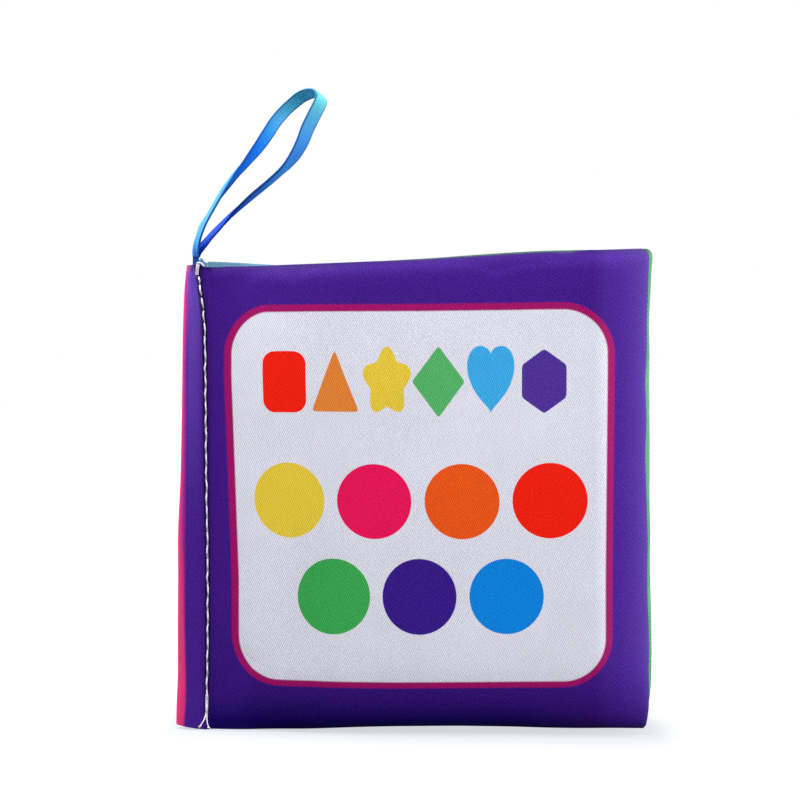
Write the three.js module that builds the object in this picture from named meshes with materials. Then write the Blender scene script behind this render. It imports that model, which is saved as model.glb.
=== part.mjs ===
// Cloth baby book: four padded leaves of printed twill, closed by one straight seam beside the fold of
// the spine, with a loop of satin ribbon caught in the top end of the seam.
//
// Millimetres, +Z up. The book stands on its lower edges with its leaves fanned a little. X runs from
// the spine to the fore edge and Y from the front cover to the back cover. Inside this file x = 0 is
// the seam. The finished book is then moved so that the origin is under the middle of its box.

import * as THREE from 'three';

// Cloth and clearances
const FABRIC = 0.35;
const FILM = 0.1;
const LAYER_GAP = 0.2; // between the layers that are pressed together in the spine
const INNER_GAP = 0.2; // between a leaf's fabric and what lies inside it
const LEAF_GAP = 0.3; // between neighbouring leaves where they rest on each other

// The fan: how far apart the leaves' middles are at the seam, how fast that grows towards the fore edge,
// and how much more they are pushed apart where all four are at their fullest
const PITCH_AT_SEAM = 1.25;
const PITCH_GROWTH = 0.075;
const LEAF_BOW = 2.2;
const BOW_AT = 32;

// One padded leaf
const LEAF_START = 0.9; // from the seam to the leaf's first row of cloth
const COVER_REACH = 104.1; // from the seam to the fore edge
const INNER_REACH = 103.6;
const LEAF_THICKNESS = 3.6;
const CROWN = 1.0; // extra thickness in the middle of a leaf
const RIM_HALF = 0.5; // half the thickness of the turned edge
const RIM_ROUNDING = 4; // how far in from the edge a leaf is fully thick
const CORNER_RADIUS = 3.2;
const FORE_EDGE_DRAW = 1.2; // how far the fore edge is drawn in between its corners
const FLAT_CUT = 0.5; // depth of the flat that a leaf stands on
const PADDING_EDGE = 0.45; // share of the padding's thickness left at its own edge

// The fold of the spine
const SPINE_WIDTH_LOW = 7.1; // from the seam to the fold, at the bottom
const SPINE_WIDTH_HIGH = 5.7; // and at the top
const SPINE_CORNER_DRAW = 1.1; // how far the fold's top corner is drawn in
const SPINE_CORNER_HEIGHT = 7;
const SPINE_HEIGHT = 110.6;
const SPINE_TUCK = 0.8; // how far the ends of the fold itself are tucked in
const SPINE_PINCH = 2.4; // half the thickness where the seam pulls the layers together
const SPINE_BULGE = 3.0; // half the thickness of the fold
const SPINE_PAST_SEAM = 0.4;
const INNER_LAYER_TRIM = 0.3; // the inner layers end this much short at top and bottom

// Seam threads
const THREAD_RADIUS = 0.2;
const THREAD_CLEARANCE = 0.1;
const SEAM_LOW = 3.4;
const SEAM_HIGH = 106.6;
const TAIL_SPACING = 0.25; // half the distance between the loose ends where they start
const BACKTACK = { width: 1.1, height: 3.4, depth: 0.4, clearance: 0.3 };

// Ribbon
const RIBBON_WIDTH = 3.8;
const RIBBON_THICKNESS = 0.3;
const RIBBON_GATHERED = 1.8; // its width where it is gathered into the seam
const RIBBON_SPREAD_HEIGHT = 8; // how far above the seam it is at its full width
const RIBBON_LEAN = 35; // degrees from upright
const RIBBON_X = -1.3;
const TAIL = { low: 98, wide: 102, high: 112.3, wideLeft: -3.2 };

// How finely the soft forms are divided
const LEAF_CELLS = 12;
const PADDING_CELLS = { column: 3, columns: 7, row: 2, rows: 8 };
const FOLD_FLAT_STEPS = 3;
const FOLD_ARC_STEPS = 8;
const FOLD_ROWS = 6;
const RIBBON_STEPS_PER_POINT = 2;

// The leaves, from front to back. place counts pitches from the middle of the book. bottom and top
// are the heights of the leaf's edges at the seam, in the middle and at the fore edge.
const LEAVES = [
  {
    name: 'front_cover',
    place: -1.5,
    reach: COVER_REACH,
    bottom: [0.1, 2.2, 2.1],
    top: [109.2, 110.7, 112.9],
    outer: { name: 'front_cover_outer_fabric', colour: 0x431f8a },
    inner: { name: 'front_cover_lining', colour: 0x2f9e4f },
    film: true,
  },
  {
    name: 'front_leaf',
    place: -0.5,
    reach: INNER_REACH,
    bottom: [0, 0, 0],
    top: [111.5, 109.9, 110.3],
    outer: { name: 'front_leaf_outer_fabric', colour: 0x5cb4e4 },
    inner: { name: 'front_leaf_inner_fabric', colour: 0x35a79c },
    film: false,
  },
  {
    name: 'back_leaf',
    place: 0.5,
    reach: INNER_REACH,
    bottom: [0, 0, 0],
    top: [110.9, 109.8, 110.4],
    outer: { name: 'back_leaf_outer_fabric', colour: 0xe9c93c },
    inner: { name: 'back_leaf_inner_fabric', colour: 0xe5742a },
    film: false,
  },
  {
    name: 'back_cover',
    place: 1.5,
    reach: COVER_REACH,
    bottom: [0, 0, 0],
    top: [110.2, 109.7, 110.6],
    outer: { name: 'back_cover_outer_fabric', colour: 0xe02a6c },
    inner: { name: 'back_cover_lining', colour: 0x2f7fd0 },
    film: true,
  },
];

// The ribbon's centre line: x from the seam, y, z, and how far the ribbon's width is turned from the
// Y axis, in degrees. It leaves the seam, goes up on the left, over the top and down on the right.
const RIBBON_ROUTE = [
  [-1.6, -0.3, 112.6, 90],
  [-1.9, -0.4, 113.7, 78],
  [-1.6, -0.7, 116.4, 50],
  [-0.7, -0.8, 119.4, 32],
  [1.0, -0.6, 122.6, 20],
  [4.3, 0.0, 128.0, 0],
  [7.3, 1.0, 131.6, -14],
  [10.0, 2.0, 134.6, -27],
  [12.7, 3.0, 138.3, -38],
  [14.7, 3.7, 141.3, -44],
  [16.7, 4.2, 144.6, -48],
  [18.6, 4.4, 147.0, -50],
  [20.6, 3.8, 149.0, -50],
  [22.6, 2.2, 150.3, -50],
  [24.6, 0.0, 150.8, -50],
  [26.4, -2.4, 150.5, -50],
  [27.3, -4.0, 149.2, -50],
  [26.9, -4.5, 147.6, -50],
  [25.3, -4.4, 145.0, -50],
  [23.6, -4.0, 142.0, -50],
  [22.3, -3.4, 138.6, -46],
  [20.6, -2.7, 135.6, -38],
  [18.3, -1.8, 132.6, -27],
  [14.7, -0.8, 129.6, -14],
  [10.0, 0.0, 126.0, 0],
  [6.3, 0.6, 122.6, 16],
  [2.7, 0.8, 119.0, 32],
  [0.2, 0.7, 116.2, 50],
  [-1.3, 0.4, 113.7, 78],
  [-1.4, 0.3, 112.6, 90],
];

// Numbers along a range, and curves between named values
const lerp = THREE.MathUtils.lerp;
const clamp = THREE.MathUtils.clamp;
const closerAtEnds = (t) => (1 - Math.cos(Math.PI * t)) / 2;
const eased = (t) => Math.sin((Math.PI / 2) * clamp(t, 0, 1));

function throughThree([start, middle, end], t) {
  return start * (1 - t) * (1 - 2 * t) + middle * 4 * t * (1 - t) + end * t * (2 * t - 1);
}

function roundedCorner(distance, radius) {
  if (distance >= radius) return 0;
  return radius - Math.sqrt(radius ** 2 - (radius - distance) ** 2);
}

function mesh(name, geometry, colour, roughness = 0.85) {
  const material = new THREE.MeshStandardMaterial({ color: colour, roughness, metalness: 0 });
  const piece = new THREE.Mesh(geometry, material);
  piece.name = name;
  return piece;
}

// A closed sheet between two surfaces on one grid. The first surface faces the way that columns
// crossed with rows point, and the second faces back.
function sheetGeometry(columns, rows, facing, backing) {
  const position = [];
  for (const point of [facing, backing]) {
    for (let j = 0; j <= rows; j += 1) {
      for (let i = 0; i <= columns; i += 1) position.push(...point(i, j));
    }
  }
  const across = columns + 1;
  const layer = across * (rows + 1);
  const at = (i, j) => j * across + i;
  const index = [];
  const quad = (a, b, c, d) => index.push(a, b, c, a, c, d);
  for (let j = 0; j < rows; j += 1) {
    for (let i = 0; i < columns; i += 1) {
      const corners = [at(i, j), at(i + 1, j), at(i + 1, j + 1), at(i, j + 1)];
      quad(...corners);
      quad(...corners.map((corner) => corner + layer).reverse());
    }
  }
  const wall = (a, b) => quad(b, a, a + layer, b + layer);
  for (let i = 0; i < columns; i += 1) {
    wall(at(i, 0), at(i + 1, 0));
    wall(at(i + 1, rows), at(i, rows));
  }
  for (let j = 0; j < rows; j += 1) {
    wall(at(columns, j), at(columns, j + 1));
    wall(at(0, j + 1), at(0, j));
  }
  const geometry = new THREE.BufferGeometry();
  geometry.setAttribute('position', new THREE.Float32BufferAttribute(position, 3));
  geometry.setIndex(index);
  geometry.computeVertexNormals();
  return geometry;
}

// How far apart the middles of two neighbouring leaves are at a distance from the seam
function pitchAt(x) {
  const rise = THREE.MathUtils.smoothstep(x, 0, BOW_AT);
  const beyond = clamp((x - BOW_AT) / (COVER_REACH - BOW_AT), 0, 1);
  const bow = rise * (1 + Math.cos(Math.PI * beyond)) / 2;
  return PITCH_AT_SEAM + PITCH_GROWTH * x + LEAF_BOW * bow;
}

// A node of a leaf's grid: its place on the leaf's middle, and half the leaf's thickness there
function leafNode(leaf, column, row) {
  const across = closerAtEnds(column / LEAF_CELLS);
  const up = closerAtEnds(row / LEAF_CELLS);
  const cornerDistance = Math.min(up, 1 - up) * SPINE_HEIGHT;
  const drawn = FORE_EDGE_DRAW * 4 * up * (1 - up) + roundedCorner(cornerDistance, CORNER_RADIUS);
  const reach = leaf.reach - drawn;
  const x = lerp(LEAF_START, reach, across);
  const bottom = throughThree(leaf.bottom, x / leaf.reach);
  const top = throughThree(leaf.top, x / leaf.reach);
  const z = lerp(bottom, top, up);
  const crowned = LEAF_THICKNESS + CROWN * Math.sin(Math.PI * across) * Math.sin(Math.PI * up);
  const rounding = [reach - x, z - bottom + FLAT_CUT, top - z]
    .reduce((share, distance) => share * eased(distance / RIM_ROUNDING), 1);
  const half = lerp(RIM_HALF, Math.min(pitchAt(x) - LEAF_GAP, crowned) / 2, rounding);
  return { x, y: leaf.place * pitchAt(x), z, half };
}

// A sheet of one leaf, between two distances from its middle, counted towards its cover side
function leafSheet(leaf, cells, near, far) {
  const side = Math.sign(leaf.place);
  const surface = (distance) => (i, j) => {
    const node = leafNode(leaf, cells.column + i, cells.row + j);
    const onEdge = i === 0 || j === 0 || i === cells.columns || j === cells.rows;
    return [node.x, node.y + side * distance(node.half, onEdge), node.z];
  };
  const surfaces = side < 0 ? [surface(far), surface(near)] : [surface(near), surface(far)];
  return sheetGeometry(cells.columns, cells.rows, ...surfaces);
}

function paddedLeaf(leaf) {
  const whole = { column: 0, columns: LEAF_CELLS, row: 0, rows: LEAF_CELLS };
  const group = new THREE.Group();
  const add = (name, colour, cells, near, far, roughness) => {
    group.add(mesh(name, leafSheet(leaf, cells, near, far), colour, roughness));
  };
  const wallInside = (half, onEdge) => (onEdge ? RIM_HALF : half) - FABRIC;
  const innerWallInside = (half, onEdge) => -wallInside(half, onEdge);
  add(leaf.outer.name, leaf.outer.colour, whole, wallInside, (half) => half);
  add(leaf.inner.name, leaf.inner.colour, whole, (half) => -half, innerWallInside);

  const room = (half) => half - FABRIC - INNER_GAP;
  const underFilm = leaf.film ? FILM + INNER_GAP : 0;
  const thinned = (onEdge) => (onEdge ? PADDING_EDGE : 1);
  const paddingNear = (half, onEdge) => -room(half) * thinned(onEdge);
  const paddingFar = (half, onEdge) => (room(half) - underFilm) * thinned(onEdge);
  add(`${leaf.name}_padding`, 0xf2f0ea, PADDING_CELLS, paddingNear, paddingFar, 1);
  if (leaf.film) {
    const filmNear = (half) => room(half) - FILM;
    add(`${leaf.name}_crinkle_film`, 0xdfe6ea, PADDING_CELLS, filmNear, room, 0.3);
  }
  return group;
}

// A point of the folded spine, on the surface that lies inset from its outside. Steps go from the
// back of the seam round the fold to the front of the seam, and rows go up.
function foldPoint(inset, trim, step, row) {
  const up = closerAtEnds(row / FOLD_ROWS);
  const fromTop = (1 - up) * SPINE_HEIGHT;
  const corner = roundedCorner(Math.min(fromTop / SPINE_CORNER_HEIGHT, 1), 1);
  const width = lerp(SPINE_WIDTH_LOW, SPINE_WIDTH_HIGH, up) - SPINE_CORNER_DRAW * corner;
  const straight = width - SPINE_BULGE;
  const arcEnd = FOLD_FLAT_STEPS + FOLD_ARC_STEPS;
  let x;
  let y;
  if (step > FOLD_FLAT_STEPS && step < arcEnd) {
    const angle = Math.PI * (0.5 + (step - FOLD_FLAT_STEPS) / FOLD_ARC_STEPS);
    x = (SPINE_BULGE - inset) * Math.cos(angle) - straight;
    y = (SPINE_BULGE - inset) * Math.sin(angle);
  } else {
    const side = step <= FOLD_FLAT_STEPS ? 1 : -1;
    const along = (side > 0 ? step : arcEnd + FOLD_FLAT_STEPS - step) / FOLD_FLAT_STEPS;
    x = lerp(SPINE_PAST_SEAM, -straight, along);
    y = side * (lerp(SPINE_PINCH, SPINE_BULGE, closerAtEnds(clamp(-x / straight, 0, 1))) - inset);
  }
  const tuck = SPINE_TUCK * (x / width) ** 2;
  return [x, y, lerp(tuck + trim, SPINE_HEIGHT - tuck - trim, up)];
}

function spineFold(name, colour, layer) {
  const inset = layer * (FABRIC + LAYER_GAP);
  const trim = layer > 0 ? INNER_LAYER_TRIM : 0;
  const outside = (step, row) => foldPoint(inset, trim, step, row);
  const inside = (step, row) => foldPoint(inset + FABRIC, trim, step, row);
  const steps = 2 * FOLD_FLAT_STEPS + FOLD_ARC_STEPS;
  return mesh(name, sheetGeometry(steps, FOLD_ROWS, outside, inside), colour);
}

// The straight run of thread on one face of the book
function seamThread(name, side) {
  const geometry = new THREE.CylinderGeometry(THREAD_RADIUS, THREAD_RADIUS, SEAM_HIGH - SEAM_LOW, 8);
  geometry.rotateX(Math.PI / 2);
  const thread = mesh(name, geometry, 0xf4f3ef);
  thread.position.y = side * (SPINE_PINCH + THREAD_CLEARANCE + THREAD_RADIUS);
  thread.position.z = (SEAM_LOW + SEAM_HIGH) / 2;
  return thread;
}

// The thick overstitched end of the seam
function backtack() {
  const radius = BACKTACK.width / 2;
  const straight = BACKTACK.height - BACKTACK.width;
  const outline = new THREE.Shape();
  outline.absarc(0, straight / 2, radius, 0, Math.PI);
  outline.absarc(0, -straight / 2, radius, Math.PI, 2 * Math.PI);
  outline.closePath();
  const options = { depth: BACKTACK.depth, bevelEnabled: false, curveSegments: 6 };
  const geometry = new THREE.ExtrudeGeometry(outline, options);
  geometry.rotateX(Math.PI / 2);
  const piece = mesh('seam_backtack', geometry, 0xf4f3ef);
  piece.position.y = -(SPINE_PINCH + BACKTACK.clearance);
  piece.position.z = SPINE_HEIGHT - BACKTACK.height / 2 - SPINE_TUCK / 2;
  return piece;
}

// A loose end of thread below the seam, leaning sideways
function threadTail(name, lean) {
  const depth = SPINE_PINCH + THREAD_CLEARANCE + THREAD_RADIUS;
  const path = new THREE.CatmullRomCurve3([
    new THREE.Vector3(lean > 0 ? TAIL_SPACING : -TAIL_SPACING, -depth, SEAM_LOW - 0.4),
    new THREE.Vector3(lean * 0.6, -depth - 0.1, SEAM_LOW - 1.5),
    new THREE.Vector3(lean, -depth - 0.25, 0.5),
  ]);
  const section = new THREE.Shape();
  section.absarc(0, 0, THREAD_RADIUS, 0, 2 * Math.PI);
  const options = { extrudePath: path, steps: 6, curveSegments: 3 };
  return mesh(name, new THREE.ExtrudeGeometry(section, options), 0xf4f3ef);
}

// The two ends of the ribbon, pressed together and sewn into the spine
function ribbonTail() {
  const right = RIBBON_X + RIBBON_GATHERED / 2;
  const left = RIBBON_X - RIBBON_GATHERED / 2;
  const outline = new THREE.Shape([
    new THREE.Vector2(TAIL.wideLeft, TAIL.low),
    new THREE.Vector2(right, TAIL.low),
    new THREE.Vector2(right, TAIL.high),
    new THREE.Vector2(left, TAIL.high),
    new THREE.Vector2(left, SPINE_HEIGHT),
    new THREE.Vector2(TAIL.wideLeft, TAIL.wide),
  ]);
  const geometry = new THREE.ExtrudeGeometry(outline, { depth: RIBBON_THICKNESS, bevelEnabled: false });
  geometry.rotateX(Math.PI / 2);
  geometry.translate(0, RIBBON_THICKNESS / 2, 0);
  return mesh('ribbon_tail', geometry, 0x3f8fdc, 0.4);
}

// The free loop of ribbon: a flat band that twists as it goes round
function ribbonLoop() {
  const curve = new THREE.CatmullRomCurve3(RIBBON_ROUTE.map(([x, y, z]) => new THREE.Vector3(x, y, z)));
  const last = RIBBON_ROUTE.length - 1;
  const steps = last * RIBBON_STEPS_PER_POINT;
  const lean = THREE.MathUtils.degToRad(RIBBON_LEAN);
  const sideways = new THREE.Vector3(Math.cos(lean), 0, -Math.sin(lean));
  const depthwise = new THREE.Vector3(0, 1, 0);
  const surface = (side) => (i, j) => {
    const point = Math.min(Math.floor(j / RIBBON_STEPS_PER_POINT), last - 1);
    const share = j / RIBBON_STEPS_PER_POINT - point;
    const turn = THREE.MathUtils.degToRad(lerp(RIBBON_ROUTE[point][3], RIBBON_ROUTE[point + 1][3], share));
    const centre = curve.getPoint(j / steps);
    const along = curve.getTangent(j / steps);
    const widthways = depthwise.clone().multiplyScalar(Math.cos(turn))
      .addScaledVector(sideways, -Math.sin(turn));
    widthways.addScaledVector(along, -widthways.dot(along)).normalize();
    const outward = new THREE.Vector3().crossVectors(widthways, along);
    const spread = eased((centre.z - SPINE_HEIGHT) / RIBBON_SPREAD_HEIGHT);
    const width = lerp(RIBBON_GATHERED, RIBBON_WIDTH, spread);
    centre.addScaledVector(widthways, width * (i - 0.5));
    centre.addScaledVector(outward, side * RIBBON_THICKNESS / 2);
    return centre.toArray();
  };
  return mesh('ribbon_loop', sheetGeometry(1, steps, surface(1), surface(-1)), 0x3f8fdc, 0.4);
}

const book = new THREE.Group();
for (const leaf of LEAVES) book.add(paddedLeaf(leaf));
book.add(
  spineFold('spine_cover_fabric', 0x431f8a, 0),
  spineFold('spine_cover_lining', 0x2f9e4f, 1),
  spineFold('spine_leaf_outer_fabric', 0x5cb4e4, 2),
  spineFold('spine_leaf_inner_fabric', 0x35a79c, 3),
  seamThread('seam_needle_thread', -1),
  seamThread('seam_bobbin_thread', 1),
  backtack(),
  threadTail('needle_thread_tail', -1.5),
  threadTail('bobbin_thread_tail', 0.45),
  ribbonTail(),
);
const box = new THREE.Box3().setFromObject(book);
book.add(ribbonLoop());

const part = new THREE.Group();
book.position.x = -(box.min.x + box.max.x) / 2;
part.add(book);

export default part;
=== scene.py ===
"""Cloth baby book: four padded, printed leaves sewn along one seam, and a loop of ribbed satin ribbon.

The book's shapes are worked out in millimetres, with x counted from the seam, and go into the meshes in
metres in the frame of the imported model. Every piece keeps its object at the origin.
"""

import math

import bpy
import numpy as np
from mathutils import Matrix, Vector


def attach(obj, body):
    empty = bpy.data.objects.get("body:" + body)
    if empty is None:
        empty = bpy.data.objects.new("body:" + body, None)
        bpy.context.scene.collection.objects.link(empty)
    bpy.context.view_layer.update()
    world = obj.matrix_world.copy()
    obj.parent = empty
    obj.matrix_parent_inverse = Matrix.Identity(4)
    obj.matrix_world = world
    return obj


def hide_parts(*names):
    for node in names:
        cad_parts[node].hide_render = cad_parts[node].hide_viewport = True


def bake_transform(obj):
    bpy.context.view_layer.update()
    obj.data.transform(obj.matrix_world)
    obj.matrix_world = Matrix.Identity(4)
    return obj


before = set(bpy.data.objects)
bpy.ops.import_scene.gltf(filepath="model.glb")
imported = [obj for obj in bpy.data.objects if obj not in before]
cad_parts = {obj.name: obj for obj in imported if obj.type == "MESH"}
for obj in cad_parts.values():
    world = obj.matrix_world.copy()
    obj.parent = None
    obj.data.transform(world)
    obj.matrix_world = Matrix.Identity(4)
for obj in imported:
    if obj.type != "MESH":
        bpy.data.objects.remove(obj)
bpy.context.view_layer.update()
bpy.ops.object.select_all(action="DESELECT")

SEAM_X = -48.35

# The fan of the leaves, as in the solids
PITCH_AT_SEAM = 1.25
PITCH_GROWTH = 0.075
LEAF_GAP = 0.3
LEAF_THICKNESS = 3.6
CROWN = 1.0
LEAF_BOW = 2.2  # how much the leaves are pushed apart near the seam, where they are at their fullest
BOW_AT = 32.0
FORE_EDGE = 104.3
FACE_WIDTH, FACE_HEIGHT = 104.0, 110.0
RIM = 5.0  # how far in from the edge a leaf is fully thick
COVER_FOOT = 14.0  # the same at the lower edge of the front cover, which is tucked back
COVER_FORE = 9.0  # and at its fore edge
COVER_SWELL = 0.35  # how much further out the face of the front cover stands
CORNER_TOP, CORNER_FOOT = 2.0, 0.8  # radii of a leaf's corners at its fore edge
OUTERMOST = 1.5  # pitches from the middle of the book to a cover
CLOTH = 0.3

SPINE_PINCH = 2.45
SPINE_BULGE = 3.0
FOLD_REACH = 4.5  # how far in from the fold its rounding begins
FOLD_WIDTH = 7.1
SPINE_HEIGHT = 110.0
PRINT_TURN = 4.85  # where the purple print gives way to the pink one, along the cloth from the seam
GUTTER = (0.2, 1.4)  # from where to where the strip between the spine and a cover goes, from the seam
CREASE_SHADE_WIDTH = 0.62  # of the painted shade in the crease under the stitches, to each side
STITCH = 3.1
SEAM_OPENS = 92.0  # the height from which the stitches pull the cloth further in
THREAD_RADIUS = 0.2
THREAD_LAY = 1.5  # the length in which the thread's plies go once round


# ---------------------------------------------------------------- numbers
def smooth(t):
    t = np.clip(t, 0, 1)
    return t * t * (3 - 2 * t)


def softened(table):
    """A smooth curve through (place, value) pairs."""
    places, values = np.array(table, float).T

    def curve(at):
        at = np.asarray(at, float)
        spread = (-2.4, -1.2, 0, 1.2, 2.4)
        return sum(np.interp(at + s, places, values) for s in spread) / len(spread)

    return curve


def waves(x, z, count, shortest, longest, seed):
    """Low rolling unevenness between -1 and 1."""
    rng = np.random.default_rng(seed)
    total = 0
    for _ in range(count):
        angle, phase = rng.uniform(0, 2 * math.pi, 2)
        length = rng.uniform(shortest, longest)
        total = total + np.sin(2 * math.pi * (x * math.cos(angle) + z * math.sin(angle)) / length + phase)
    return total / count


# ---------------------------------------------------------------- the book's shape
seam_drift = softened(((0, 0.2), (6.6, 0.22), (14.5, 0.3), (20, 0.43), (33, 0.42), (45, 0.36), (56, 0.11),
                       (65, 0.05), (75, -0.02), (84, -0.12), (93, -0.25), (98, -0.42), (103, -1.15),
                       (107.4, -1.72), (112, -1.95)))
fold_width = softened(((0, 7.2), (4, 7.2), (9, 7.0), (13, 6.8), (46, 6.8), (59, 6.3), (76, 5.85), (94, 5.6),
                       (103, 5.3), (106.4, 5.1), (109.4, 4.75), (111, 4.5)))
fore_reach = softened(((0, 102.8), (2, 103.0), (5, 103.6), (8, 103.95), (11, 104.15), (18, 104.3),
                       (25, 104.25), (32, 104.03), (39, 103.85), (46, 104.0), (52, 103.8), (73, 103.8),
                       (80, 103.6), (87, 103.8), (94, 103.6), (101, 104.0), (107, 104.25), (110, 104.5),
                       (112, 104.6)))

LEAVES = {
    "front_cover": dict(
        place=-OUTERMOST, short=0.0,
        bottom=softened(((-5, 0.02), (2, 0.02), (10, 0.06), (17, 0.35), (24, 0.6), (31, 1.02), (38, 1.35),
                         (45, 1.57), (59, 1.8), (72, 1.7), (80, 1.5), (88, 1.45), (95, 1.6), (106, 1.6))),
        top=softened(((-5, 109.4), (2, 109.42), (12, 109.5), (28, 109.9), (42, 110.35), (54, 110.98),
                      (62, 111.6), (70, 112.15), (80, 112.65), (95, 112.8), (101, 113.0), (106, 113.0))),
    ),
    "front_leaf": dict(
        place=-0.5, short=0.9,
        bottom=softened(((-5, 0), (4, 0.05), (22, 0.4), (44, 1.15), (70, 1.3), (98, 1.0), (106, 1.0))),
        top=softened(((-5, 110.75), (3, 110.7), (8, 110.42), (14, 110.05), (20, 109.6), (45, 109.6),
                      (106, 110.1))),
    ),
    "back_leaf": dict(
        place=0.5, short=1.2,
        bottom=softened(((-5, 0), (20, 0.15), (50, 0.45), (80, 0.3), (106, 0.1))),
        top=softened(((-5, 110.2), (20, 109.6), (55, 109.6), (106, 110.4))),
    ),
    "back_cover": dict(
        place=OUTERMOST, short=0.3,
        bottom=softened(((-5, 0), (106, 0))),
        top=softened(((-5, 109.4), (20, 109.5), (55, 109.7), (106, 110.6))),
    ),
}


def bow(x):
    """How far the leaves are pushed apart, from 0 to 1."""
    rise = smooth(x / BOW_AT)
    fall = (1 + np.cos(math.pi * np.clip((x - BOW_AT) / (FORE_EDGE - BOW_AT), 0, 1))) / 2
    return rise * fall


def pitch(x):
    """Distance from the middle of one leaf to the next."""
    return PITCH_AT_SEAM + PITCH_GROWTH * x + LEAF_BOW * bow(x)


def groove(x, z):
    """How far the seam pulls the cloth in at a point of a face."""
    off = x - seam_drift(z)
    along = 0.75 + 0.25 * np.cos(2 * math.pi * z / STITCH)
    sewn = smooth((z - 0.6) / 2) * smooth((SPINE_HEIGHT + 0.4 - z) / 1.2)
    pinch = 0.85 * along * np.exp(-((off / 0.5) ** 4)) + 0.3 * np.exp(-((off / 1.6) ** 2))
    return sewn * (pinch - 0.16 * np.exp(-(((np.abs(off) - 1.7) / 0.6) ** 2)))


def tightness(x, z):
    """How much the layers are pressed together by the seam, from 0 to 1."""
    return np.exp(-(((x - seam_drift(z)) / 1.0) ** 2))


def spine_top(x):
    """Height of the top of the spine, which is a little lower where the cover begins."""
    tuck = 0.5 * (np.clip(-x, 0, None) / FOLD_WIDTH) ** 2
    return SPINE_HEIGHT - tuck - 0.65 * smooth((x + 2.4) / 2.6)


def spine_foot(x):
    """Height of the foot of the spine, which rises towards the fold."""
    return 1.05 * (np.clip(-x, 0, None) / FOLD_WIDTH) ** 1.1


def fold_crest(x):
    """Depth of the outside of the spine from the middle of the book."""
    return SPINE_PINCH + (SPINE_BULGE - SPINE_PINCH) * smooth(-x / 2.2)


def cover_face(x, z, side):
    """Depth of the outside of a cover from the middle of the book, near the seam."""
    full = OUTERMOST * pitch(x) + np.minimum(pitch(x) - LEAF_GAP, LEAF_THICKNESS) / 2
    mix = smooth((x + 0.4) / 3.0)
    return side * (fold_crest(x) * (1 - mix) + full * mix - groove(x, z))


# ---------------------------------------------------------------- meshes
def linked(name, data):
    piece = bpy.data.objects.new(name, data)
    bpy.context.scene.collection.objects.link(piece)
    return piece


def finish_object(name, mesh, material):
    mesh.materials.append(material)
    mesh.shade_smooth()
    return linked(name, mesh)


def grid_faces(rows, columns, flip):
    at = np.arange(rows * columns).reshape(rows, columns)
    quads = np.stack([at[:-1, :-1], at[:-1, 1:], at[1:, 1:], at[1:, :-1]], -1).reshape(-1, 4)
    return quads[:, ::-1] if flip else quads


def both_faces(rows, columns):
    """Faces of two grids of the same size that turn their backs to each other."""
    return [grid_faces(rows, columns, False), grid_faces(rows, columns, True) + rows * columns]


def mesh_from(name, points, faces, uv=None):
    """A mesh in metres from points in millimetres, with x counted from the seam."""
    mesh = bpy.data.meshes.new(name)
    places = (np.asarray(points, float).reshape(-1, 3) + (SEAM_X, 0, 0)) / 1000
    mesh.from_pydata(places.tolist(), [], faces.tolist() if isinstance(faces, np.ndarray) else faces)
    if uv is not None:
        layer = mesh.uv_layers.new(name="cloth")
        corners = np.zeros(len(mesh.loops), np.int32)
        mesh.loops.foreach_get("vertex_index", corners)
        layer.data.foreach_set("uv", np.asarray(uv, np.float32).reshape(-1, 2)[corners].ravel())
    return mesh


def apply_modifier(piece, kind, **settings):
    """Applies a modifier, and leaves the piece alone selected."""
    bpy.ops.object.select_all(action="DESELECT")
    bpy.context.view_layer.objects.active = piece
    piece.select_set(True)
    modifier = piece.modifiers.new(kind.lower(), kind)
    for key, value in settings.items():
        setattr(modifier, key, value)
    bpy.ops.object.modifier_apply(modifier=modifier.name)


def cloth_sheet(name, points, uv, material, flip=False):
    """A sheet of cloth with its outside on a grid of points, thickened inwards."""
    x, z = points[..., 0], points[..., 2]
    piece = finish_object(name, mesh_from(name, points, grid_faces(*x.shape, flip), uv), material)
    if x.min() < 1:
        # painted shade: a dark crease colour under the stitches, kept in the crease attribute for the material
        shadow = np.exp(-(((x - seam_drift(z)) / CREASE_SHADE_WIDTH) ** 4)) * smooth((z - 1) / 3)
        attribute = piece.data.attributes.new("crease", "FLOAT", "POINT")
        attribute.data.foreach_set("value", shadow.astype(np.float32).ravel())
    apply_modifier(piece, "SOLIDIFY", thickness=CLOTH / 1000, offset=-1, use_even_offset=False)
    bpy.ops.object.shade_smooth_by_angle(angle=math.radians(50))
    piece.select_set(False)
    return piece


def closed_form(name, front, back, material, uv=None):
    """A closed form between two grids of the same size, the first facing the reader."""
    rows, columns = front.shape[:2]
    count = rows * columns
    at = np.arange(count).reshape(rows, columns)
    ring = np.concatenate([at[0, :-1], at[:-1, -1], at[-1, :0:-1], at[:0:-1, 0]])
    following = np.roll(ring, -1)
    walls = np.stack([ring, ring + count, following + count, following], -1)
    faces = np.concatenate([*both_faces(rows, columns), walls])
    points = np.concatenate([front.reshape(-1, 3), back.reshape(-1, 3)])
    both = None if uv is None else np.concatenate([uv.reshape(-1, 2)] * 2)
    return finish_object(name, mesh_from(name, points, faces, both), material)


def travelled(points, axis):
    """Distance along the cloth from the first row or column."""
    steps = np.linalg.norm(np.diff(points, axis=axis), axis=2)
    start = np.zeros_like(steps.take([0], axis=axis))
    return np.concatenate([start, np.cumsum(steps, axis=axis)], axis=axis)


def length_along(path):
    return travelled(path[None], 1)[0]


def unit(vectors):
    return vectors / np.linalg.norm(vectors, axis=1)[:, None]


def stand_for(piece, node, body=None):
    """Puts a piece in the place of one of the solids, riding on a body unless it is blended."""
    if body:
        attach(piece, body)
    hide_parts(node)


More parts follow.
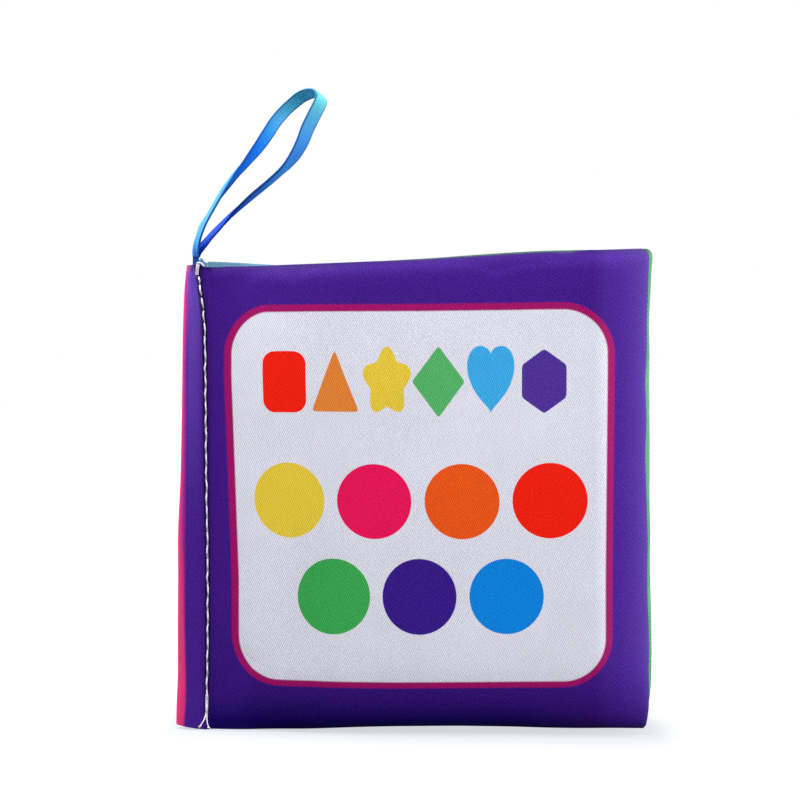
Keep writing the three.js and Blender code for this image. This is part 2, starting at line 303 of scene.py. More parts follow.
# ---------------------------------------------------------------- leaves
def grid_lines(flat_cells, rim_cells, rims):
    """Each line of a grid as (share of the way across the flat part, share of the way round the rim)."""
    lines = [(0.0, 1 - k / rim_cells) for k in range(rim_cells)] if rims[0] else []
    lines += [(k / flat_cells, 0.0) for k in range(flat_cells + 1)]
    lines += [(1.0, (k + 1) / rim_cells) for k in range(rim_cells)] if rims[1] else []
    return np.array(lines)


def rim_angle(round_share, turn):
    """Angle from the outermost line of the rim, turn being where this sheet's edge is sewn."""
    return math.pi / 2 - round_share * (math.pi / 2 - turn)


def leaf_middle(name, x):
    return LEAVES[name]["place"] * pitch(x)


def leaf_points(name, side, start, counts, turns):
    """Points of one sheet of a leaf. side is -1 for the front sheet and 1 for the back one. turns gives
    the angle round the rim at which the sheet is sewn to the other: fore, top and bottom."""
    leaf = LEAVES[name]
    across = grid_lines(counts[0], counts[2], (False, True))
    upward = grid_lines(counts[1], counts[2], (True, True))
    a, a_round = across[None, :, 0], across[None, :, 1]
    b, b_round = upward[:, None, 0], upward[:, None, 1]
    top_part = b > 0.5
    fore_rim, foot = (COVER_FORE, COVER_FOOT) if name == "front_cover" else (RIM, RIM)
    row_rim = np.where(top_part, RIM, foot)
    past_flat = np.where(top_part, 1, -1) * row_rim * np.sin(math.pi / 2 * b_round)
    guess_z = 1 + foot + (FACE_HEIGHT - RIM - foot) * b + past_flat
    guess_x = a * FACE_WIDTH
    fore = rim_angle(a_round, turns["fore"](guess_z))
    reach = fore_reach(guess_z) - leaf["short"]
    x = start + (reach - fore_rim - start) * a
    swing = rim_angle(b_round, np.where(top_part, turns["top"](guess_x), turns["bottom"](guess_x)))
    # the corner: the fore edge is drawn in round a small radius as the rows reach the top or bottom
    row_out = np.where(b_round > 0, row_rim * (1 - np.cos(swing)), row_rim)
    corner = np.where(top_part, CORNER_TOP, CORNER_FOOT)
    rounding = corner - np.sqrt(np.maximum(corner**2 - (corner - row_out) ** 2, 0))
    inset = np.where(row_out < corner, rounding, 0)
    x = x + np.where(a_round > 0, fore_rim * np.cos(fore), 0) - inset * smooth((x - 60) / 40)
    low, high = leaf["bottom"](x), leaf["top"](x)
    z = low + foot + (high - low - RIM - foot) * b
    z = z + np.where(b_round > 0, np.where(top_part, RIM, -foot) * np.cos(swing), 0)
    fore_share = np.where(a_round > 0, np.sin(fore), 1.0)
    row_share = np.where(b_round > 0, np.sin(swing), 1.0)
    arch_x, arch_z = (np.sin(math.pi * np.clip(v, 0, 1)) for v in (x / FACE_WIDTH, z / FACE_HEIGHT))
    dome = np.minimum(pitch(x) - LEAF_GAP, LEAF_THICKNESS + CROWN * arch_x * arch_z) / 2
    fore_in, row_in = np.maximum(fore_share, 0), np.maximum(row_share, 0)
    rolled = np.minimum(fore_share, 0) * row_in + np.minimum(row_share, 0) * fore_in
    middle = leaf_middle(name, x)
    if name == "front_cover":
        tuck = np.where(top_part, 0, 1 - np.abs(row_share)) * smooth((x - 4) / 10)
        middle = middle + 0.95 * dome * tuck
        dome = dome + COVER_SWELL * (side < 0) * smooth(x / 12)
    half = dome * (fore_in * row_in + rolled)
    return np.stack(np.broadcast_arrays(x, middle + side * half, z), -1)


def degrees(table):
    curve = softened(table)
    return lambda at: np.radians(curve(at))


def turned(turns, sign):
    return {edge: (lambda at, f=f: sign * f(at)) for edge, f in turns.items()}


# where the two sheets of a leaf are sewn, as an angle towards the front, in degrees
SEWN = {
    "front_cover": dict(
        fore=degrees(((0, 14), (8, 14), (13, 25), (20, 23), (31, 26), (37, 24), (42, 22), (48, 24.5),
                      (54, 24.5), (59, 27.5), (65, 30), (71, 25), (76, 26), (82, 27.5), (88, 22.5),
                      (94, 21), (99, 22), (105, 23.5), (112, 26.5))),
        top=degrees(((0, -8), (40, -4), (46, 12), (70, 22), (96, 22), (99, 0), (105, -12))),
        bottom=degrees(((0, -20), (106, -20))),
    ),
    "front_leaf": dict(
        fore=degrees(((0, 5), (40, -10), (80, 8), (112, 0))),
        top=degrees(((0, -28), (20, 10), (50, 25), (106, 10))),
        bottom=degrees(((0, 0), (106, 10))),
    ),
    "back_leaf": dict(
        fore=degrees(((0, -6), (50, 12), (112, -4))),
        top=degrees(((0, 0), (50, -12), (106, 8))),
        bottom=degrees(((0, 10), (106, 25))),
    ),
    "back_cover": dict(
        fore=degrees(((0, 5), (40, -12), (80, 4), (112, -8))),
        top=degrees(((0, 8), (60, -6), (106, 4))),
        bottom=degrees(((0, 12), (106, 14))),
    ),
}

# the same where a leaf's two sheets meet in its middle all round
LEVEL = dict.fromkeys(("fore", "top", "bottom"), np.zeros_like)

# cells of a leaf's grid across, upwards and round its rim
FINE = (86, 92, 8)
COARSE = (43, 46, 4)
PAD_CELLS = (36, 38, 3)

LEAF_START = 0.35  # where an inner leaf's sheets begin, from the seam
SWELLING_FRAMES = 20
PILLOW_SHARE = 0.86  # of a leaf's thickness, with which its swelling starts
MOST_SWELLING = 0.45
MOST_SLIDE = 0.12  # how far the swelling may draw the cloth along the leaf
PAD_START = 9.0  # where the filling begins
PAD_MIDDLE = (56.0, 55.5)  # the point of the face towards which the filling is drawn in, and how much
PAD_SHARE = 0.955
PAD_CLEARANCE = 0.45  # between the filling and the cloth
PAD_LEAST = 0.12  # half the least thickness that the filling has
UNDER_FILM = 0.3  # how much further in a pad lies under a film
FILM_THICKNESS = 0.1


def coarse_pillow(name, start):
    """The swelling of a leaf under its padding, as two grids of movement, in millimetres."""
    sheets = []
    for side in (-1, 1):
        points = leaf_points(name, side, start, COARSE, LEVEL)
        points[..., 1] = (points[..., 1] - leaf_middle(name, points[..., 0])) * PILLOW_SHARE
        sheets.append(points)
    grid = sheets[0].shape
    everything = np.concatenate([s.reshape(-1, 3) for s in sheets])
    pillow = linked("pillow", mesh_from("pillow", everything, np.concatenate(both_faces(*grid[:2]))))
    apply_modifier(pillow, "WELD", merge_threshold=0.00002)
    held = [v.index for v in pillow.data.vertices if v.co.x < (SEAM_X + start + 3) / 1000]
    pillow.vertex_groups.new(name="sewn").add(held, 1.0, "REPLACE")
    cloth = pillow.modifiers.new("cloth", "CLOTH")
    fabric = dict(
        quality=6, mass=0.15, tension_stiffness=25, compression_stiffness=25, shear_stiffness=8,
        bending_stiffness=0.25, use_pressure=True, uniform_pressure_force=6, shrink_min=-0.012,
        vertex_group_mass="sewn",
    )
    for key, value in fabric.items():
        setattr(cloth.settings, key, value)
    cloth.settings.effector_weights.gravity = 0
    cloth.collision_settings.use_collision = False
    cloth.point_cache.frame_start, cloth.point_cache.frame_end = 1, SWELLING_FRAMES
    before = np.zeros(len(pillow.data.vertices) * 3, np.float32)
    pillow.data.vertices.foreach_get("co", before)
    for number in range(1, SWELLING_FRAMES + 1):
        bpy.context.scene.frame_set(number)
    evaluated = pillow.evaluated_get(bpy.context.evaluated_depsgraph_get())
    after = np.zeros_like(before)
    evaluated.data.vertices.foreach_get("co", after)
    moved = (after - before).reshape(-1, 3) * 1000
    places = before.reshape(-1, 3) * 1000 - (SEAM_X, 0, 0)
    bpy.context.scene.frame_set(1)
    bpy.data.objects.remove(pillow)
    # the welded pillow's points back on the two grids, by place
    found = {tuple(np.round(p, 2)): m for p, m in zip(places, moved)}
    return [np.array([found.get(tuple(np.round(p, 2)), (0, 0, 0)) for p in points.reshape(-1, 3)]).reshape(grid)
            for points in sheets]


def refined(field):
    """A coarse grid's movement on the fine grid that has twice as many cells each way."""
    for _ in range(2):
        fine = np.zeros((2 * len(field) - 1, *field.shape[1:]))
        fine[::2] = field
        fine[1::2] = (field[:-1] + field[1:]) / 2
        field = fine.swapaxes(0, 1)
    for _ in range(2):
        eased = field.copy()
        eased[1:-1] = (field[:-2] + 2 * field[1:-1] + field[2:]) / 4
        field = eased.swapaxes(0, 1)
    return field


def rings_in(points):
    """How many cells each point of a leaf's grid is from its three free edges."""
    rows, columns = points.shape[:2]
    i, j = np.meshgrid(np.arange(rows), np.arange(columns), indexing="ij")
    return np.minimum(np.minimum(i, rows - 1 - i), columns - 1 - j)


def pressed(points, field, side, start):
    """The swelling kept to what room there is, and faded out at the sewn edges and towards the seam."""
    x, z = points[..., 0], points[..., 2]
    room = smooth((x - start - 2) / 10) * smooth(rings_in(points) / 14)
    depth = 0.16 * waves(x, z, 5, 26, 60, 5 if side < 0 else 8)
    if field is not None:
        outward = np.clip(field[..., 1] * side, -0.2, 1.2)
        depth = depth + np.clip(outward - outward.mean(), -MOST_SWELLING, MOST_SWELLING)
        for axis in (0, 2):
            points[..., axis] += np.clip(field[..., axis], -MOST_SLIDE, MOST_SLIDE) * room
    points[..., 1] += side * depth * room
    return points


def sewn_edge(points, base, name):
    """The crease where the two sheets are sewn and turned."""
    middle = leaf_middle(name, base[..., 0])
    creased = 0.22 * np.exp(-((rings_in(points) / 1.6) ** 2))
    if name == "front_cover":
        creased = creased * smooth((points[..., 2] - 6) / 8)
    pull = 1 - creased / np.maximum(np.abs(base[..., 1] - middle), 0.6)
    points[..., 1] = middle + (points[..., 1] - middle) * pull
    return points


def leaf_sheet(name, side, start, piece_name, material, field):
    """One sheet of a leaf, with its first line of points and that line's places in the cloth."""
    base = leaf_points(name, side, start, FINE, turned(SEWN[name], 1 if side < 0 else -1))
    along = travelled(base, 1) + start
    upward = travelled(base, 0)
    upward = upward - upward[len(upward) // 2] + base[len(base) // 2, :, 2]
    points = sewn_edge(pressed(base.copy(), field, side, start), base, name)
    if "cover" in name and LEAVES[name]["place"] * side > 0:
        x, z = points[..., 0], points[..., 2]
        edge = np.minimum(z - LEAVES[name]["bottom"](x), LEAVES[name]["top"](x) - z)
        near = (1 - smooth((x - 2.5) / 9)) * smooth(edge / 3.0)
        points[..., 1] = points[..., 1] * (1 - near) + cover_face(x, z, side) * near
    uv = np.stack([along, upward], -1) / 100
    return cloth_sheet(piece_name, points, uv, material, flip=side > 0), points[:, 0], uv[:, 0]


def leaf_filling(name, depths, material, piece_name):
    """The pad or the film in a leaf: the leaf's form drawn in by its cloth. depths has, for the front and
    the back of the filling, which side of the leaf's middle it lies on and how much it is drawn in."""
    front, back = (leaf_points(name, side, PAD_START, PAD_CELLS, LEVEL) for side in (-1, 1))
    half = (back[..., 1] - front[..., 1]) / 2
    off_middle = 0.5 * ((back[..., 1] + front[..., 1]) / 2 - leaf_middle(name, front[..., 0]))
    room = np.maximum(half - CLOTH - PAD_CLEARANCE, PAD_LEAST)
    for points, (side, inset) in zip((front, back), depths):
        for axis, centre in zip((0, 2), PAD_MIDDLE):
            points[..., axis] = centre + (points[..., axis] - centre) * PAD_SHARE
        points[..., 1] = leaf_middle(name, points[..., 0]) + off_middle + side * (room - inset)
    return closed_form(piece_name, front, back, material)


# ---------------------------------------------------------------- the spine
LAYER_STEP = 0.55  # how much further in each layer of the spine lies
LAYER_TRIM = 0.3  # how much shorter the inner layers are at their foot
LAYER_END = 0.3  # where they end past the seam
RISING_LAYER = 2  # the layer whose top stands up beside the seam, where it joins the front leaf
RISE = 1.1
SPINE_ROWS = 118


def fold_points(inset, ends, trim=0.0, rise=0.0, meets=None):
    """The folded spine as rows of points from the front of the seam round the fold to its back. ends is
    where it stops past the seam; rise is how far its top stands up beside the seam, and meets the depth
    at which its front ends."""
    even = np.linspace(0, 1, SPINE_ROWS)
    z_lines = (1 - np.cos(np.linspace(0, math.pi, SPINE_ROWS))) / 2 * 0.35 + even * 0.65
    height = z_lines[:, None] * SPINE_HEIGHT

    def drawn_in(x):
        return inset * (1 - 0.4 * tightness(x, height))

    centre = fold_width(height) - FOLD_REACH
    share = np.linspace(0, 1, 25)
    angle = math.pi * (0.5 + np.arange(1, 36) / 36)
    front_x = ends - (centre + ends) * share
    back_x = (centre + ends) * share - centre
    bend_x = (FOLD_REACH - inset) * np.cos(angle) - centre
    x = np.concatenate([front_x, bend_x, back_x], 1)
    front_y = cover_face(front_x, height, -1) + drawn_in(front_x)
    if meets:
        near = smooth((front_x + 1.3) / 1.6)
        front_y = front_y * (1 - near) - meets * near
    back_y = cover_face(back_x, height, 1) - drawn_in(back_x)
    pulled = groove(bend_x, height) * smooth(np.abs(np.sin(angle)) * 2)
    bend_y = -np.sin(angle) * (fold_crest(bend_x) - drawn_in(bend_x)) + np.sign(np.sin(angle)) * pulled
    y = np.concatenate([front_y, bend_y, back_y], 1)
    low, high = spine_foot(x) + trim, spine_top(x) - trim * 4
    if rise:
        beside = smooth((x + 1.9) / 0.7) * (y < 0)
        high = high + beside * (rise + trim * 4 + 0.8 * np.exp(-(((x + 1.0) / 0.5) ** 2)))
    z = low + (high - low) * z_lines[:, None]
    travel = travelled(np.stack([x, y, np.zeros_like(x)], -1), 1)
    padded = np.pad(travel, ((5, 5), (0, 0)), mode="edge")
    travel = sum(padded[k : k + SPINE_ROWS] for k in range(11)) / 11
    return np.stack([x, y, z], -1), np.stack([ends - travel, z], -1) / 100


def spine_layer(name, layer, material):
    """One of the spine's four layers, counted from the outside."""
    if layer == RISING_LAYER:
        leaf_face = pitch(LEAF_START) / 2 + (pitch(LEAF_START) - LEAF_GAP) / 2
        points, uv = fold_points(layer * LAYER_STEP, LAYER_END, LAYER_TRIM, RISE, leaf_face)
    elif layer:
        points, uv = fold_points(layer * LAYER_STEP, LAYER_END, LAYER_TRIM)
    else:
        points, uv = fold_points(0.0, GUTTER[0])
        x, z = points[..., 0], points[..., 2]
        wobble = 0.13 * waves(x * 2, z, 6, 9, 34, 21) * smooth(-x / 3)
        points[..., 1] += wobble * np.sign(points[..., 1])
        points[..., 0] -= 0.1 * waves(points[..., 1] * 2, z, 5, 7, 26, 4) * smooth((-x - 3) / 2)
    return cloth_sheet(name, points, uv, material, flip=True)


def gutter(name, side, material, edge, edge_uv):
    """The narrow strip of cover cloth from the spine to the cover. edge is the cover's first line of points."""
    share = np.linspace(0, 1, 7)[None, :]
    x = GUTTER[0] + (edge[:, :1] - GUTTER[0]) * share
    low, high = edge[:, 2].min(), edge[:, 2].max()
    start_z = (edge[:, 2] - low) / (high - low) * spine_top(GUTTER[0])
    z = start_z[:, None] * (1 - share) + edge[:, 2:] * share
    meet = edge[:, 1:2] - cover_face(edge[:, :1], edge[:, 2:], side)
    y = cover_face(x, z, side) + meet * share**2
    u = GUTTER[0] + (edge_uv[:, :1] * 100 - GUTTER[0]) * share
    v = start_z[:, None] * (1 - share) + edge_uv[:, 1:] * 100 * share
    return cloth_sheet(name, np.stack([x, y, z], -1), np.stack([u, v], -1) / 100, material, flip=side > 0)


# ---------------------------------------------------------------- threads
def frames_along(path):
    """Unit vectors across a path that don't spin about it."""
    tangent = unit(np.gradient(path, axis=0))
    across = np.cross(tangent[0], (0.3, 0.9, 0.1))
    result = []
    for t in tangent:
        across = across - t * (across @ t)
        across /= np.linalg.norm(across)
        result.append((across, np.cross(t, across)))
    return np.array(result)


def smooth_path(points, step):
    """A curve through the points, with about this distance between its own points."""
    p = np.array(points, float)
    p = np.vstack([2 * p[0] - p[1], p, 2 * p[-1] - p[-2]])
    result = []
    for k in range(1, len(p) - 2):
        count = max(2, int(round(np.linalg.norm(p[k + 1] - p[k]) / step)))
        for t in np.arange(count) / count:
            result.append(0.5 * (2 * p[k] + (p[k + 1] - p[k - 1]) * t
                                 + (2 * p[k - 1] - 5 * p[k] + 4 * p[k + 1] - p[k + 2]) * t**2
                                 + (3 * p[k] - p[k - 1] - 3 * p[k + 1] + p[k + 2]) * t**3))
    result.append(p[-2])
    return np.array(result)


def twisted_thread(path, radius, plies=3, sides=12, taper=0.0):
    """Points, faces and cloth places of a thread with its plies' twist, closed at both ends."""
    frames = frames_along(path)
    travel = length_along(path)
    angle = np.arange(sides) / sides * 2 * math.pi
    rings = []
    for k, point in enumerate(path):
        turn = travel[k] / THREAD_LAY * 2 * math.pi
        bulge = 1 + 0.16 * np.cos(plies * (angle - turn))
        size = radius * (1 - taper * smooth((travel[k] - travel[-1] * 0.5) / (travel[-1] * 0.5 + 1e-9)))
        outward = np.cos(angle)[:, None] * frames[k, 0] + np.sin(angle)[:, None] * frames[k, 1]
        rings.append(point + size * bulge[:, None] * outward)
    points = np.concatenate([np.concatenate(rings), path[:1], path[-1:]])
    pairs = [(s, (s + 1) % sides) for s in range(sides)]
    first, last_ring = len(path) * sides, (len(path) - 1) * sides
    faces = [(k + s, k + n, k + sides + n, k + sides + s) for k in range(0, last_ring, sides) for s, n in pairs]
    for s, n in pairs:
        faces += [(first, n, s), (first + 1, last_ring + s, last_ring + n)]
    uv = np.zeros((len(points), 2))
    uv[:first, 0] = np.tile(angle / (2 * math.pi), len(path))
    uv[:first, 1] = np.repeat(travel, sides) / 100
    return points, faces, uv


def thread_piece(name, node, parts):
    """The lengths of thread that stand for one node, as one piece that rides on the spine."""
    points, faces, uvs = [], [], []
    for part, part_faces, uv in parts:
        start = sum(map(len, points))
        points.append(part)
        uvs.append(uv)
        faces += [tuple(v + start for v in face) for face in part_faces]
    mesh = mesh_from(name, np.concatenate(points), faces, np.concatenate(uvs))
    stand_for(finish_object(name, mesh, THREAD), node, "spine")


def face_at_seam(z, side):
    return abs(float(cover_face(float(seam_drift(z)), z, side)))


def stitch_path(side, low, high, depth_at_hole, seed):
    """A lockstitch thread: it lies on the cloth from hole to hole and dips into each hole."""
    rng = np.random.default_rng(seed)
    points = []
    z = low
    number = 0
    while z < high - 1.0:
        length = min(STITCH * rng.uniform(0.94, 1.06), high - z)
        slant = rng.uniform(0.02, 0.16) * (1 if number % 2 else -0.6)
        open_top = smooth((z - SEAM_OPENS) / 10)
        dip = depth_at_hole + 0.85 * open_top
        for share, lift, sway in ((0.0, -dip, 0), (0.16, 0.05 - 0.2 * open_top, 0.6), (0.45, 0.26, 1.0),
                                  (0.72, 0.24, 0.4), (0.9, 0.05 - 0.45 * open_top, -0.3)):
            at = z + length * share
            x = float(seam_drift(at)) + slant * sway + rng.uniform(-0.03, 0.03)
            points.append((x, side * (face_at_seam(at, side) + 0.3 + lift), at))
        z += length
        number += 1
    points.append((float(seam_drift(z)), side * (face_at_seam(z, side) - 0.3), z))
    return smooth_path(points, 0.2)


def frayed_end(name, node, route, seed):
    """A cut end of thread, with nine loose fibres that spread from its last part."""
    rng = np.random.default_rng(seed)
    parts = [twisted_thread(smooth_path(route, 0.15), THREAD_RADIUS, taper=0.3)]
    tip, before = np.array(route[-1]), np.array(route[-2])
    along = (tip - before) / np.linalg.norm(tip - before)
    for _ in range(9):
        spread = rng.uniform(-0.45, 0.45, 3) * (1, 0.35, 0.25)
        start = before + (tip - before) * rng.uniform(0.1, 0.8)
        ends = [start, start + along * 0.4 + spread * 0.4, start + along * 0.75 + spread]
        ends = [np.append(end[:2], max(end[2], 0.16)) for end in ends]
        parts.append(twisted_thread(smooth_path(ends, 0.12), 0.085, plies=2, sides=6, taper=0.5))
    thread_piece(name, node, parts)


def over_cloth(places):
    """Points that lie a little above the front of the book, from x, height and lift."""
    return [(x, float(cover_face(x, z, -1)) - lift, z) for x, z, lift in places]


# ---------------------------------------------------------------- the ribbon
RIBBON_WIDTH, RIBBON_THICKNESS, RIBBON_GATHERED = 3.8, 0.3, 1.35
RIBBON_ROOT, RIBBON_SPREADS_IN = 111.4, 7.5  # the height up to which it is gathered, and the way to full width
RIBBON_LEAN = math.radians(35)
# x, y and z of the ribbon's middle, and how far its width is turned from the line of sight
RIBBON_ROUTE = (
    (-2.6, -0.3, 112.0, 80), (-2.5, -0.4, 113.5, 60), (-1.95, -0.7, 116.4, 30), (-0.95, -0.8, 119.4, 25),
    (0.95, -0.6, 122.8, 16), (4.1, 0.0, 128.0, 2), (6.6, 1.0, 131.6, -9), (9.1, 2.0, 134.6, -19),
    (12.0, 3.0, 138.3, -34), (14.2, 3.7, 141.6, -42), (16.1, 4.2, 144.6, -42), (18.3, 4.4, 147.2, -42),
    (20.5, 3.8, 149.1, -43), (22.6, 2.2, 150.4, -46), (24.8, 0.0, 150.9, -50), (26.6, -2.4, 150.5, -50),
    (27.5, -4.0, 149.2, -50), (27.1, -4.5, 147.6, -50), (25.8, -4.4, 145.0, -50), (24.3, -4.0, 142.0, -50),
    (22.9, -3.4, 138.6, -44), (21.2, -2.7, 135.6, -34), (18.8, -1.8, 132.6, -19), (15.4, -0.8, 129.6, -7),
    (10.8, 0.0, 126.0, 1), (6.8, 0.6, 122.6, 10), (3.2, 0.8, 119.0, 22), (0.5, 0.7, 116.2, 30),
    (-1.7, 0.4, 113.5, 60), (-2.3, 0.3, 112.0, 80),
)
RIB = 0.62


def ribbon_grid(route, step):
    """The middle of the ribbon along its route, and its two faces: ribbed across, with a firm edge on each
    side and gathered at its root."""
    path = smooth_path(route, step)
    centre, turn = path[:, :3], np.radians(path[:, 3])
    tangent = unit(np.gradient(centre, axis=0))
    sideways = np.array((math.cos(RIBBON_LEAN), 0, -math.sin(RIBBON_LEAN)))
    widthways = np.cos(turn)[:, None] * (0, 1, 0) - np.sin(turn)[:, None] * sideways
    widthways = unit(widthways - tangent * (widthways * tangent).sum(1)[:, None])
    outward = np.cross(widthways, tangent)
    travel = length_along(centre)
    spread = smooth((centre[:, 2] - RIBBON_ROOT) / RIBBON_SPREADS_IN)
    gathered = 1 - spread
    width = RIBBON_GATHERED + (RIBBON_WIDTH - RIBBON_GATHERED) * spread
    across = np.array((-0.5, -0.485, -0.45, -0.4, -0.2, 0.0, 0.2, 0.4, 0.45, 0.485, 0.5))
    rib = 0.018 * np.cos(2 * math.pi * travel / RIB)[:, None] * (np.abs(across) < 0.42)
    edge = 0.05 * (np.abs(across) > 0.43) - 0.09 * (np.abs(across) > 0.49)
    pleat = 0.35 * gathered[:, None] * np.cos(2 * math.pi * across * 1.5)
    cup = (0.25 + 0.75 * np.exp(-((turn / math.radians(17)) ** 2)))[:, None] * (across**2 * 4 - 0.4)
    cup = cup * (1 - gathered[:, None])
    line = centre[:, None] + widthways[:, None] * (width[:, None] * across)[..., None]
    faces = []
    for side in (1, -1):
        depth = side * (RIBBON_THICKNESS / 2 + rib + edge) + pleat + cup
        faces.append(line + outward[:, None] * depth[..., None])
    uv = np.stack(np.broadcast_arrays(across * RIBBON_WIDTH, travel[:, None]), -1) / 100
    return centre, faces, uv, travel[-1]


# ---------------------------------------------------------------- shader wiring
class Wiring:
    """Short ways to place and join the nodes of one material, world or group."""

    def __init__(self, tree):
        self.tree = tree

    def put(self, socket, value):
        if isinstance(value, bpy.types.NodeSocket):
            self.tree.links.new(value, socket)
        elif value is not None:
            socket.default_value = value

    def node(self, kind, *inputs, **settings):
        node = self.tree.nodes.new("ShaderNode" + kind)
        for key, value in settings.items():
            setattr(node, key, value)
        for socket, value in zip(node.inputs, inputs):
            self.put(socket, value)
        return node

    def named(self, kind, inputs):
        """A node with its inputs given by name."""
        node = self.node(kind)
        for name, value in inputs.items():
            self.put(node.inputs[name], value)
        return node

    def math(self, operation, *values, clamp=False):
        return self.node("Math", *values, operation=operation, use_clamp=clamp).outputs[0]

    def times(self, *values, clamp=False):
        return self.math("MULTIPLY", *values, clamp=clamp)

    def scaled(self, *values, clamp=False):
        """The first value times the second, plus the third."""
        return self.math("MULTIPLY_ADD", *values, clamp=clamp)

    def plus(self, *values):
        return self.math("ADD", *values)

    def minus(self, *values):
        return self.math("SUBTRACT", *values)

    def wave(self, value, rate):
        """A wave between 0 and 1."""
        return self.scaled(self.math("COSINE", self.times(value, rate)), 0.5, 0.5)

    def vector(self, operation, *values):
        node = self.node("VectorMath", *values, operation=operation)
        return node.outputs["Value" if operation in ("LENGTH", "DISTANCE", "DOT_PRODUCT") else "Vector"]

    def split(self, vector):
        return self.node("SeparateXYZ", vector).outputs

    def mix(self, share, low, high, mode="MIX"):
        """A blend of two colours."""
        node = self.node("Mix", data_type="RGBA", blend_type=mode)
        for name, value in (("Factor_Float", share), ("A_Color", low), ("B_Color", high)):
            self.put(next(s for s in node.inputs if s.identifier == name), value)
        return next(s for s in node.outputs if s.identifier == "Result_Color")

    def noise(self, vector, scale, detail=2.0, roughness=0.5):
        inputs = {"Vector": vector, "Scale": scale, "Detail": detail, "Roughness": roughness}
        return self.named("TexNoise", inputs).outputs["Fac"]

    def range(self, value, low, high, to_low=0.0, to_high=1.0):
        return self.node("MapRange", value, low, high, to_low, to_high).outputs[0]

    def inside(self, distance, soft=0.14):
        """1 inside an outline and 0 outside, from the distance to it in millimetres."""
        return self.scaled(distance, -1 / soft, 0.5, clamp=True)

    def surface(self, height, strength, depth, inputs):
        """The whole shader of a material, with relief of this depth in metres."""
        bump = self.named("Bump", {"Strength": strength, "Distance": depth, "Height": height})
        shader = self.named("BsdfPrincipled", {**inputs, "Normal": bump.outputs[0]})
        self.node("OutputMaterial", shader.outputs[0])


def emptied(block):
    """The wiring of a material or a world, without the nodes that it starts with."""
    block.use_nodes = True
    block.node_tree.nodes.clear()
    return Wiring(block.node_tree)


def new_material(name):
    material = bpy.data.materials.new(name)
    return material, emptied(material)


def new_group(name, outputs):
    """A group that works on the cloth's coordinates."""
    tree = bpy.data.node_groups.new(name, "ShaderNodeTree")
    tree.interface.new_socket("Cloth", in_out="INPUT", socket_type="NodeSocketVector")
    for label in outputs:
        tree.interface.new_socket(label, in_out="OUTPUT", socket_type="NodeSocketFloat")
    given = tree.nodes.new("NodeGroupInput").outputs["Cloth"]
    return Wiring(tree), given, tree.nodes.new("NodeGroupOutput").inputs


def linear(r, g, b):
    """A colour from its values on a screen."""
    return tuple(((v / 255 + 0.055) / 1.055) ** 2.4 if v > 10 else v / 255 / 12.92 for v in (r, g, b)) + (1.0,)


def twill_group():
    """Printed polyester twill: raised diagonal lines broken into floats, with fine unevenness, and painted
    glints where the floats catch the light.
    """
    w, cloth, out = new_group("twill_weave", ("Height", "Shade", "Glint"))
    parts = w.split(cloth)
    x, z = w.times(parts[0], 100.0), w.times(parts[1], 100.0)
    drift = w.noise(cloth, 18.0, 3.0)
    lines = w.times(w.scaled(z, -0.5, w.scaled(drift, 0.35, x)), 1 / TWILL_PITCH)
    line = w.wave(lines, 2 * math.pi)
    along = w.scaled(w.math("FLOOR", lines), 0.37, w.times(z, 1 / TWILL_FLOAT))
    float_ends = w.math("POWER", w.math("ABSOLUTE", w.math("COSINE", w.times(along, math.pi))), 6.0)
    yarn = w.times(line, w.scaled(float_ends, -0.22, 1.0))
    fibre = w.noise(cloth, 900.0, 2.0, 0.7)
    uneven = w.noise(cloth, 9.0, 3.0, 0.55)
    w.put(out["Height"], w.scaled(fibre, 0.35, yarn))
    w.put(out["Shade"], w.scaled(yarn, 0.38, w.scaled(uneven, 0.12, 0.74)))
    # Glint: painted glints, lighter specks along the twill's lines
    specks = w.range(w.noise(cloth, 330.0, 1.0), 0.42, 0.75, 0.12, 1.0)
    w.put(out["Glint"], w.times(w.scaled(yarn, 0.85, 0.15), w.times(specks, 0.46)))
    return w.tree


def edge_group():
    """Where the cloth is rubbed at its turned edges, from 0 to 1."""
    w, cloth, out = new_group("rubbed_edge", ("Wear",))
    worn = w.range(w.node("NewGeometry").outputs["Pointiness"], 0.52, 0.6)
    w.put(out["Wear"], w.times(worn, w.noise(cloth, 60.0, 3.0, 0.6), clamp=True))
    return w.tree


TWILL_PITCH = 0.52
TWILL_FLOAT = 0.95
TWILL = twill_group()
WORN = edge_group()


def cloth_place(w):
    return w.node("UVMap", uv_map="cloth").outputs[0]


def in_mm(w, uv):
    """The cloth's own coordinates in millimetres."""
    return w.vector("MULTIPLY", uv, (100.0, 100.0, 0.0))


def painted_edge_light(w, across, up):
    """Painted light along the edges and on the spine: a multiplier with painted shade along the top edge and a
    painted highlight along the fore edge and on the spine's strip, and a pale painted sheen on the fore margin
    and the strip."""
    below_top = w.minus(up, w.range(across, 25.0, 88.0, 0.0, 3.15))
    top = w.times(w.range(below_top, 104.5, 106.2, 1.0, 0.93), w.range(below_top, 107.9, 109.9, 1.0, 0.42))
    fore = w.range(across, 92.5, 97.5, 1.0, 1.36)
    strip = w.times(w.range(across, -0.9, -2.6), w.range(up, 50.0, 101.0, 0.12, 1.0))
    strip = w.times(strip, w.range(across, -5.6, -4.6))
    # painted shade at the top edge, painted highlight along the fore edge and on the spine's strip
    lift = w.times(w.times(top, fore), w.scaled(strip, 0.62, 1.0))
    # painted sheen: pale on the fore margin, fading towards the foot, and on the spine's strip
    painted_sheen = w.plus(w.range(across, 92.0, 95.0, 0.0, 0.012), w.range(across, 98.0, 104.0, 0.0, 0.032))
    painted_sheen = w.times(painted_sheen, w.range(up, 2.0, 22.0, 0.25, 1.0))
    return lift, w.scaled(strip, 0.052, painted_sheen)


